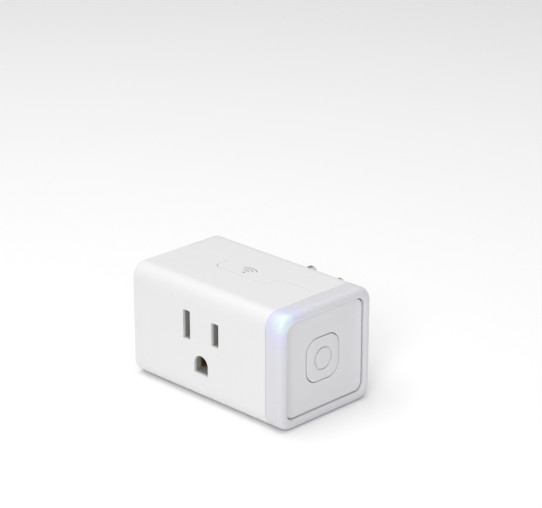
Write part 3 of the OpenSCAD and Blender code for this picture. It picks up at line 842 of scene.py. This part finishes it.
@dataclass
class CaseHalves:
    """The two halves of the case, cut from one rounded shell at the parting line."""

    plug: Plug
    tongue_half: float = 11.5 * MM
    tongue_tip: float = 2.5 * MM
    tongue_root: float = 1.6 * MM
    slot_width: float = 3.1 * MM
    hot_slot: float = 7.8 * MM
    neutral_slot: float = 9.6 * MM
    hole_radius: float = 3.05 * MM
    hole_drop: float = 11.9 * MM
    spacing: float = 12.7 * MM
    edge: float = 0.12 * MM
    mouth: float = 0.3 * MM
    slot_corner: float = 0.25 * MM
    hole_corner: float = 0.3 * MM
    rib: float = 1.0 * MM
    rib_height: float = 1.5 * MM
    rib_from: float = 8.0 * MM
    rib_to: float = 18.0 * MM
    post_radius: float = 2.4 * MM
    post_inset: float = 2.0 * MM
    bore_radius: float = 1.15 * MM
    bore_depth: float = 3.6 * MM
    blade_shoulders: float = 2.0 * MM
    pin_hole: float = 3.03 * MM

    @property
    def root(self) -> float:
        """Returns how far below a wall's outer face a rib or a post starts, so that it joins the wall."""
        return 0.9 * self.plug.wall

    def shell(self) -> bpy.types.Object:
        """Returns the whole shell: a rounded box, closed on the left and open on the right."""
        plug = self.plug
        shaper = Shaper("case_shell")
        rim = plug.at(plug.seam_x - self.mouth)
        shaper.plate(Side.LEFT, rim, plug.section, plug.corner)
        length = plug.seam_x - plug.left
        shaper.extrude(length - self.mouth - plug.end_round)
        shaper.follow(from_wall(plug.end_round, plug.end_round))
        shaper.choose_plate(Side.RIGHT, rim)
        shaper.follow(from_wall(self.mouth, self.mouth, 4))
        shaper.inset(plug.wall - self.mouth)
        shaper.extrude(plug.wall - length)
        return shaper.close()

    def rear_region(self, grow: float) -> bpy.types.Object:
        """Makes the solid that holds the rear half.

        It is a block with the locking tongue on its upper front, and it stops at the left end wall, which
        belongs to the front half.

        Args:
            grow: how much larger it is, to leave the seam between the halves.

        Returns:
            The solid.
        """
        plug = self.plug
        half, root, tip = self.tongue_half + grow, plug.parting - grow, plug.tongue_front - grow
        shaper = Shaper("rear_region")
        start = plug.left + plug.wall + 0.02 * MM - grow
        shaper.block(Vector((start, root, plug.bottom - plug.wall)),
                     Vector((plug.seam_x + plug.wall, plug.back + plug.wall, plug.top + plug.wall)))
        for x in (-half, half):
            shaper.slice(Vector((x, 0, 0)), Vector((1, 0, 0)))
        shaper.slice(Vector((0, 0, plug.middle.z)), Vector((0, 0, 1)))
        shaper.choose(Element.FACES,
                      lambda at, way: way.y < -0.9 and at.z > plug.middle.z and abs(at.x) < half)
        shaper.side = Side.FRONT
        shaper.extrude(root - tip)
        shaper.round_edges(lambda at, way: abs(way.z) > 0.9 and abs(at.y - tip) < 1e-6, self.tongue_tip)
        shaper.round_edges(lambda at, way: abs(way.z) > 0.9 and abs(at.y - root) < 1e-6
                           and abs(at.x - half) < 1e-6 and at.z > plug.middle.z, self.tongue_root)
        return shaper.close()

    def blade_hole(self, side: Side, middle: Vector, width: float, height: float) -> bpy.types.Object:
        """Makes a cutter for a blade slot.

        Args:
            side: the face that the slot is cut in.
            middle: the slot's middle on that face.
            width: its size along X.
            height: its size along Z.

        Returns:
            The cutter.
        """
        depth = 2 * self.plug.wall
        shaper = Shaper("blade_hole")
        shaper.plate(side, middle - side.way * depth, Vector((width, 0, height)), self.slot_corner, 3)
        shaper.extrude(2 * depth)
        return shaper.close()

    def ground_hole(self) -> bpy.types.Object:
        """Returns a cutter with a round top and a flat bottom for the ground pin."""
        plug, radius, depth = self.plug, self.hole_radius, 2 * self.plug.wall
        middle = Vector((0, plug.front + depth, -self.hole_drop))
        shaper = Shaper("ground_hole")
        shaper.plate(Side.FRONT, middle, Vector((2 * radius, 0, 2 * radius)), 0)
        shaper.choose(Element.VERTS, lambda at, way: at.z > middle.z)
        bpy.ops.mesh.bevel(offset=radius * 0.999, segments=12, profile=0.5, affect="VERTICES",
                           clamp_overlap=False)
        shaper.choose(Element.VERTS, lambda at, way: at.z < middle.z - radius * 0.9)
        bpy.ops.mesh.bevel(offset=self.hole_corner, segments=3, profile=0.5, affect="VERTICES",
                           clamp_overlap=False)
        shaper.choose_plate(Side.FRONT, middle)
        shaper.extrude(2 * depth)
        return shaper.close()

    def front(self, shell: bpy.types.Object) -> bpy.types.Object:
        """Makes the front half with its receptacle holes, the contact carrier's seat and the board's ribs.

        Args:
            shell: the whole shell, which is used up.

        Returns:
            The front half.
        """
        plug = self.plug
        combine(shell, self.rear_region(plug.seam), Cut.AWAY)
        seat_low, seat_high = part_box("contact_carrier")
        slack = Vector((plug.seam, 0, plug.seam))
        seat = Shaper("carrier_seat")
        seat.block(seat_low - slack, Vector((seat_high.x, plug.front + 2 * plug.wall, seat_high.z)) + slack)
        combine(shell, seat.close(), Cut.AWAY)
        board_low, board_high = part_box("control_board")
        end = plug.wall + self.rib_height
        for x in (board_low.x - self.rib - plug.seam, board_high.x + plug.seam):
            for low_z, high_z in ((plug.bottom + self.root, plug.bottom + end),
                                  (plug.top - end, plug.top - self.root)):
                rib = Shaper("board_rib")
                rib.block(Vector((x, plug.front + self.rib_from, low_z)),
                          Vector((x + self.rib, plug.front + self.rib_to, high_z)))
                combine(shell, rib.close(), Cut.JOIN)
        face = Vector((0, plug.front, 0))
        for x, height in ((-self.spacing / 2, self.neutral_slot), (self.spacing / 2, self.hot_slot)):
            hole = self.blade_hole(Side.FRONT, face + Vector((x, 0, 0)), self.slot_width, height)
            combine(shell, hole, Cut.AWAY)
        combine(shell, self.ground_hole(), Cut.AWAY)
        shell.name = shell.data.name = "front_shell"
        soften(shell, self.edge)
        return shell

    def rear(self, shell: bpy.types.Object) -> bpy.types.Object:
        """Makes the rear half with its tongue, the screw posts and the holes for the prongs.

        Args:
            shell: the whole shell, which is used up.

        Returns:
            The rear half.
        """
        plug = self.plug
        combine(shell, self.rear_region(0), Cut.KEEP)
        screws_low, screws_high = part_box("board_screws")
        board_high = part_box("power_board")[1]
        inset = self.post_inset
        spots = ((screws_low.x + inset, screws_high.z - inset), (screws_high.x - inset, screws_low.z + inset))
        for x, z in spots:
            foot = Vector((x, plug.back - self.root, z))
            post = Shaper("screw_post")
            post.disc(Side.FRONT, foot, self.post_radius, 40)
            post.extrude(foot.y - board_high.y)
            combine(shell, post.close(), Cut.JOIN)
            bore = Shaper("screw_bore")
            bore.disc(Side.FRONT, Vector((x, board_high.y + self.bore_depth, z)), self.bore_radius, 32)
            bore.extrude(6 * MM)
            combine(shell, bore.close(), Cut.AWAY)
        face = Vector((0, plug.back, 0))
        for node in ("hot_blade", "neutral_blade"):
            low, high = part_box(node)
            width, height = high.x - low.x, high.z - low.z - self.blade_shoulders
            middle = face + Vector(((low.x + high.x) / 2, 0, 0))
            hole = self.blade_hole(Side.BACK, middle, width + 2 * plug.seam, height + 2 * plug.seam)
            combine(shell, hole, Cut.AWAY)
        hole = Shaper("pin_hole")
        hole.disc(Side.BACK, Vector((0, plug.back - 2 * plug.wall, -self.hole_drop)), self.pin_hole, 56)
        hole.extrude(4 * plug.wall)
        combine(shell, hole.close(), Cut.AWAY)
        shell.name = shell.data.name = "rear_shell"
        soften(shell, self.edge)
        return shell

    def build(self, shelf: FinishShelf) -> None:
        """Builds both halves.

        Args:
            shelf: the finishes.
        """
        shell = self.shell()
        other = copy_of(shell, "case_shell_rear")
        deliver(self.front(shell), Body.CASE, "white_shell", shelf, "front_housing")
        deliver(self.rear(other), Body.CASE, "white_shell", shelf, "rear_cover")


@dataclass
class ButtonEnd:
    """The ring, the dished panel inside it, and the button."""

    plug: Plug
    ring_round: float = 2.1 * MM
    rim_flat: float = 0.4 * MM
    mouth_round: float = 0.7 * MM
    mouth_corner: float = 3.6 * MM
    ledge: float = 1.8 * MM
    seam_round: float = 0.5 * MM
    panel_gap: float = 0.3 * MM
    panel_edge: float = 1.1 * MM
    dish: float = 7.4 * MM
    dish_power: float = 4.0
    dish_corner: float = 2.6 * MM
    panel_skin: float = 1.5 * MM
    button_gap: float = 0.3 * MM
    button_corner: float = 4.5 * MM
    crown: float = 0.2 * MM
    proud: float = 0.05 * MM
    pillow: float = 2.3 * MM
    lip: float = 0.45 * MM
    groove_radius: float = 3.6 * MM
    groove_width: float = 0.6 * MM
    groove_depth: float = 0.4 * MM
    groove_edge: float = 0.08 * MM
    flange: float = 0.8 * MM
    button_edge: float = 0.12 * MM
    post_radius: float = 1.6 * MM
    post_edge: float = 0.2 * MM
    tab_length: float = 12.0 * MM
    tab_thickness: float = 1.2 * MM
    tab_root: float = 0.5 * MM
    panel_lip: float = 0.15 * MM
    panel_land: float = 0.12 * MM

    @property
    def rim(self) -> float:
        """Returns the width of the ring's rim, seen from the end."""
        return self.ring_round + self.rim_flat + self.mouth_round

    @property
    def button_side(self) -> float:
        """Returns the side of the button's face, without its flange."""
        low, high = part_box("button_cap")
        return high.y - low.y - 2 * self.flange

    def ring(self) -> bpy.types.Object:
        """Returns the frosted ring: a rounded rim round an opening, with a ledge for the panel."""
        plug = self.plug
        start, end = plug.at(plug.seam_x + self.seam_round), plug.at(plug.right)
        shaper = Shaper("diffuser_ring")
        shaper.plate(Side.RIGHT, start, plug.section, plug.corner)
        shaper.extrude(plug.right - plug.seam_x - self.seam_round - self.ring_round)
        shaper.follow(from_wall(self.ring_round, self.ring_round, 10))
        shaper.drop_face()
        flat = self.ring_round + self.rim_flat
        shaper.plate(Side.RIGHT, end, plug.inner(flat), self.mouth_corner)
        shaper.follow(from_level(self.mouth_round, -self.mouth_round))
        ledge_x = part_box("end_panel")[0].x
        shaper.extrude(ledge_x - plug.right + self.mouth_round)
        shaper.inset(self.ledge)
        shaper.extrude(plug.seam_x - ledge_x)
        shaper.drop_face()
        shaper.choose_plate(Side.LEFT, start)
        shaper.follow(from_wall(self.seam_round, self.seam_round, 4))
        shaper.drop_face()
        shaper.bridge(lambda at, way: abs(at.x - plug.right) < 1e-6)
        shaper.bridge(lambda at, way: abs(at.x - plug.seam_x) < 1e-6)
        ring = shaper.close()
        soften(ring, 0.12 * MM)
        self.add_tabs(ring)
        soften(ring)
        return ring

    def add_tabs(self, ring: bpy.types.Object) -> None:
        """Adds the four tabs that enter the case.

        Args:
            ring: the ring.
        """
        plug = self.plug
        low_x, length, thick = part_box("light_ring")[0].x, self.tab_length, self.tab_thickness
        inset = plug.wall + plug.seam
        for level in (plug.front + inset, plug.back - inset - thick):
            tab = Shaper("ring_tab")
            tab.block(Vector((low_x, level, plug.middle.z - length / 2)),
                      Vector((plug.seam_x + self.tab_root, level + thick, plug.middle.z + length / 2)))
            combine(ring, tab.close(), Cut.JOIN)
        for level in (plug.bottom + inset, plug.top - inset - thick):
            tab = Shaper("ring_tab")
            tab.block(Vector((low_x, plug.middle.y - length / 2, level)),
                      Vector((plug.seam_x + self.tab_root, plug.middle.y + length / 2, level + thick)))
            combine(ring, tab.close(), Cut.JOIN)

    def panel(self) -> bpy.types.Object:
        """Returns the dished panel: a thin raised edge, a bowl, and a floor with the button's opening."""
        plug = self.plug
        edge_x = plug.right - self.panel_edge
        back_x, floor_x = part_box("end_panel")[0].x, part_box("end_panel")[0].x + self.panel_skin
        rim = self.rim + self.panel_gap
        lip, land = self.panel_lip, self.panel_land
        side = self.button_side + 2 * self.button_gap
        corner = self.button_corner + self.button_gap
        shaper = Shaper("dished_panel")
        shaper.plate(Side.RIGHT, plug.at(back_x), plug.inner(rim), self.mouth_corner - self.mouth_round)
        shaper.extrude(edge_x - back_x - lip)
        shaper.follow(from_wall(lip, lip, 3))
        shaper.inset(land)
        shaper.drop_face()
        loops = [(plug.at(edge_x - (edge_x - floor_x) * (1 - (1 - t) ** self.dish_power)),
                  plug.inner(rim + lip + land + self.dish * t),
                  self.dish_corner * (1 - t) + (corner + lip) * t)
                 for t in (0, 0.03, 0.06, 0.1, 0.15, 0.21, 0.28, 0.36, 0.46, 0.6, 0.8)]
        for drawn, rise in [(0.0, 0.0), *from_level(lip, -lip, 3), (lip, back_x - floor_x)]:
            left = lip - drawn
            width = side + 2 * left
            loops.append((plug.at(floor_x + rise), Vector((0, width, width)), corner + left))
        shaper.loft(Side.RIGHT, loops)
        shaper.choose_plate(Side.LEFT, plug.at(back_x))
        shaper.drop_face()
        shaper.bridge(lambda at, way: abs(at.x - back_x) < 1e-6)
        panel = shaper.close()
        soften(panel)
        return panel

    def button(self) -> bpy.types.Object:
        """Returns the button: a pillow-shaped cap with a ring groove, a flange and a post behind."""
        plug = self.plug
        low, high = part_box("button_cap")
        flange, side, edge = self.flange, self.button_side, self.button_edge
        outer = self.groove_radius + self.groove_width / 2
        back_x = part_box("end_panel")[0].x - plug.seam - flange
        wall_x = high.x + self.proud
        shaper = Shaper("button_pillow")
        shaper.plate(Side.RIGHT, plug.at(back_x), Vector((0, side + 2 * flange, side + 2 * flange)),
                     self.button_corner + flange)
        shaper.extrude(flange)
        shaper.inset(flange)
        shaper.extrude(wall_x - back_x - flange - edge)
        shaper.follow(from_wall(edge, edge, 3))
        shaper.inset(self.lip - edge)
        steps = [i / 9 for i in range(1, 10)]
        shaper.follow([(self.pillow * t, self.crown * (1 - (1 - t) ** 2.2)) for t in steps])
        shaper.drop_face()
        face = plug.at(wall_x + self.crown)
        shaper.disc(Side.RIGHT, face, outer + self.groove_edge)
        shaper.follow(from_level(self.groove_edge, -self.groove_edge, 3))
        shaper.extrude(-self.groove_depth)
        shaper.inset(self.groove_width)
        shaper.extrude(self.groove_depth)
        shaper.follow(from_wall(self.groove_edge, self.groove_edge, 3))
        shaper.bridge(lambda at, way: abs(at.x - face.x) < 1e-6)
        shaper.choose_plate(Side.LEFT, plug.at(back_x))
        shaper.drop_face()
        shaper.disc(Side.LEFT, plug.at(back_x), self.post_radius)
        shaper.extrude(back_x - low.x - self.post_edge)
        shaper.follow(from_wall(self.post_edge, self.post_edge, 3))
        shaper.choose_plate(Side.RIGHT, plug.at(back_x))
        shaper.drop_face()
        shaper.bridge(lambda at, way: abs(at.x - back_x) < 1e-6)
        button = shaper.close()
        soften(button)
        return button

    def build(self, shelf: FinishShelf) -> None:
        """Builds the ring, the panel and the button.

        Args:
            shelf: the finishes.
        """
        deliver(self.ring(), Body.CASE, "frosted_ring", shelf, "light_ring")
        deliver(self.panel(), Body.CASE, "panel_plastic", shelf, "end_panel")
        deliver(self.button(), Body.BUTTON, "button_plastic", shelf, "button_cap")


@dataclass
class WirelessMark:
    """A plain wireless-signal mark, printed on top of the case: a dot and three arcs."""

    plug: Plug
    place: tuple[float, float] = (-0.5 * MM, -21.0 * MM)
    radii: tuple[float, ...] = (1.6 * MM, 2.9 * MM, 4.2 * MM)
    stroke: float = 0.5 * MM
    dot: float = 0.55 * MM
    ink: float = 0.02 * MM

    def print_mark(self) -> bpy.types.Object:
        """Returns the mark, a film of ink that starts just under the face it is printed on."""
        foot = Vector((*self.place, self.plug.top - self.ink / 2))
        shaper = Shaper("wireless_mark")
        for radius in self.radii:
            shaper.disc(Side.TOP, foot, radius + self.stroke / 2)
            shaper.inset(self.stroke)
            shaper.drop_face()
        for x in (-1, 1):
            bpy.ops.mesh.select_all(action="SELECT")
            bpy.ops.mesh.bisect(plane_co=foot, plane_no=(x, -1, 0), clear_outer=True)
        shaper.choose(Element.FACES, lambda at, way: True)
        shaper.extrude(1.5 * self.ink)
        shaper.disc(Side.TOP, foot, self.dot, 32)
        shaper.extrude(1.5 * self.ink)
        return shaper.close()

    def build(self, shelf: FinishShelf) -> None:
        """Prints the mark.

        Args:
            shelf: the finishes.
        """
        mark = self.print_mark()
        deliver(mark, Body.CASE, "white_shell", shelf)
        shelf.dress(mark, "mark_ink")


@dataclass
class Prongs:
    """The two blades and the ground pin."""

    plug: Plug
    bevel: float = 1.3 * MM
    hole: float = 1.5 * MM
    hole_reach: float = 11.9 * MM
    shoulder: float = 1.0 * MM
    edge: float = 0.12 * MM
    pin_radius: float = 2.38 * MM
    pin_tip: float = 1.7 * MM
    tail_radius: float = 1.6 * MM
    head_radius: float = 3.6 * MM
    head_length: float = 1.2 * MM
    collar: float = 0.6 * MM
    lap: float = 0.01 * MM

    def blade(self, node: str, name: str) -> bpy.types.Object:
        """Makes a blade with a bevelled tip, rounded edges, a hole and a shoulder.

        Args:
            node: the CAD node that it follows.
            name: its own name.

        Returns:
            The blade.
        """
        low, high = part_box(node)
        wall = self.plug.wall
        half = (high.z - low.z) / 2 - self.shoulder
        shaper = Shaper(name)
        shaper.block(Vector((low.x, low.y, -half)), Vector((high.x, high.y, half)))
        for y in (-2 * wall, -wall):
            shaper.slice(Vector((0, y, 0)), Vector((0, 1, 0)))
        shaper.choose(Element.FACES, lambda at, way: abs(way.z) > 0.9 and -2 * wall < at.y < -wall)
        bpy.ops.mesh.extrude_faces_move(MESH_OT_extrude_faces_indiv={},
                                        TRANSFORM_OT_shrink_fatten={"value": self.shoulder})
        shaper.choose(Element.EDGES, lambda at, way: abs(way.x) > 0.9 and abs(at.y - high.y) < 1e-6)
        bpy.ops.mesh.bevel(offset=self.bevel, segments=1, affect="EDGES", clamp_overlap=False)
        blade = shaper.close()
        drill = Shaper("blade_drill")
        drill.disc(Side.RIGHT, Vector((low.x - 1 * MM, self.hole_reach, 0)), self.hole, 40)
        drill.extrude(high.x - low.x + 2 * MM)
        combine(blade, drill.close(), Cut.AWAY)
        soften(blade, self.edge, 3)
        return blade

    def pin(self) -> bpy.types.Object:
        """Returns the ground pin: a round shank with a domed tip, a collar and a head."""
        low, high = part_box("ground_pin")
        middle = Vector((0, 0, (low.z + high.z) / 2))
        wall, lap = self.plug.wall, self.lap
        shaper = Shaper("ground_prong")
        shaper.disc(Side.BACK, middle + Vector((0, low.y, 0)), self.tail_radius, 48)
        shaper.extrude(-low.y - wall - self.head_length)
        tail = shaper.close()
        for from_y, to_y, radius in ((-wall - self.head_length, -wall, self.head_radius),
                                     (-wall - lap, 0, self.pin_radius + self.collar)):
            step = Shaper("pin_step")
            step.disc(Side.BACK, middle + Vector((0, from_y - lap, 0)), radius, 48)
            step.extrude(to_y - from_y + lap)
            combine(tail, step.close(), Cut.JOIN)
        shank = Shaper("pin_shank")
        shank.disc(Side.BACK, middle + Vector((0, -lap, 0)), self.pin_radius, 48)
        shank.extrude(high.y - self.pin_tip + lap)
        shank.follow(from_wall(self.pin_tip, self.pin_tip, 8))
        combine(tail, shank.close(), Cut.JOIN)
        soften(tail, 0.1 * MM, 2, 50)
        return tail

    def build(self, shelf: FinishShelf) -> None:
        """Builds the prongs.

        Args:
            shelf: the finishes.
        """
        for node, name in (("hot_blade", "hot_prong"), ("neutral_blade", "neutral_prong")):
            deliver(self.blade(node, name), Body.CASE, "nickel_plate", shelf, node)
        deliver(self.pin(), Body.CASE, "nickel_plate", shelf, "ground_pin")


@dataclass
class Studio:
    """Pale floor, soft lights, and a camera that looks at the front and the button end."""

    plug: Plug
    azimuth_deg: float = 44.85
    elevation_deg: float = 21.02
    distance: float = 667.5 * MM
    lens_mm: float = 140.4
    aim: tuple[float, float, float] = (-1.4, 10.6, 22.2)

    def floor(self) -> None:
        """Lays the floor under the plug."""
        plug = self.plug
        shaper = Shaper("floor")
        shaper.plate(Side.TOP, Vector((0, 0, plug.bottom - 0.05 * MM)), Vector((6, 6, 0)), 0)
        floor = shaper.close()
        paper = MouldedPlastic("white_backdrop_paper", "FBFBFB", 0.9, grain_mm=2, relief_mm=0.02, drift=0.0)
        floor.data.materials.append(paper.build())

    def light(self, name: str, offset: Vector, size: float, power: float) -> None:
        """Hangs a square soft light that points at the plug.

        Args:
            name: the light's name.
            offset: where it hangs, from the plug's middle.
            size: its side.
            power: its power in watts.
        """
        lamp = bpy.data.lights.new(name, "AREA")
        lamp.size = size
        lamp.energy = power
        holder = bpy.data.objects.new(name, lamp)
        bpy.context.scene.collection.objects.link(holder)
        holder.location = self.plug.middle + offset
        holder.rotation_euler = (-offset).to_track_quat("-Z", "Y").to_euler()

    def lights(self) -> None:
        """Sets the lights and the pale surroundings."""
        self.light("softbox_above", Vector((-0.1, -0.1, 0.9)), 0.9, 6.0)
        self.light("key_front_right", Vector((0.45, -0.72, 0.52)), 0.3, 2.7)
        self.light("end_fill", Vector((0.8, -0.3, 0.5)), 0.4, 0.5)
        world = bpy.data.worlds.new("pale_room")
        world.use_nodes = True
        world.node_tree.nodes["Background"].inputs["Color"].default_value = linear("FFFFFF")
        world.node_tree.nodes["Background"].inputs["Strength"].default_value = 0.38
        bpy.context.scene.world = world
        bpy.context.scene.view_settings.view_transform = "Standard"

    def camera(self) -> None:
        """Sets the camera."""
        turn, tilt = math.radians(self.azimuth_deg), math.radians(self.elevation_deg)
        view = Vector((-math.sin(turn) * math.cos(tilt), math.cos(turn) * math.cos(tilt), -math.sin(tilt)))
        lens = bpy.data.cameras.new("camera")
        lens.lens = self.lens_mm
        lens.clip_start = 0.01
        camera = bpy.data.objects.new("camera", lens)
        bpy.context.scene.collection.objects.link(camera)
        camera.location = self.plug.middle + Vector(self.aim) * MM - view * self.distance
        camera.rotation_euler = (math.pi / 2 - tilt, 0, turn)
        bpy.context.scene.camera = camera

    def build(self) -> None:
        """Sets up the floor, the lights and the camera."""
        self.floor()
        self.lights()
        self.camera()


def main() -> None:
    """Builds the plug and its studio, and reports each piece."""
    logging.basicConfig(level=logging.INFO, format="%(name)s: %(message)s")
    plug = Plug()
    lamp = Vector((plug.right - 0.9 * MM, plug.front + 2.0 * MM, plug.top - 2.0 * MM))
    shelf = FinishShelf(lamp)
    CaseHalves(plug).build(shelf)
    ButtonEnd(plug).build(shelf)
    WirelessMark(plug).build(shelf)
    Prongs(plug).build(shelf)
    for name, piece in frame["nodes"].items():
        shelf.dress(piece, shelf.slots[name])
    Studio(plug).build()


if __name__ == "__main__":
    main()
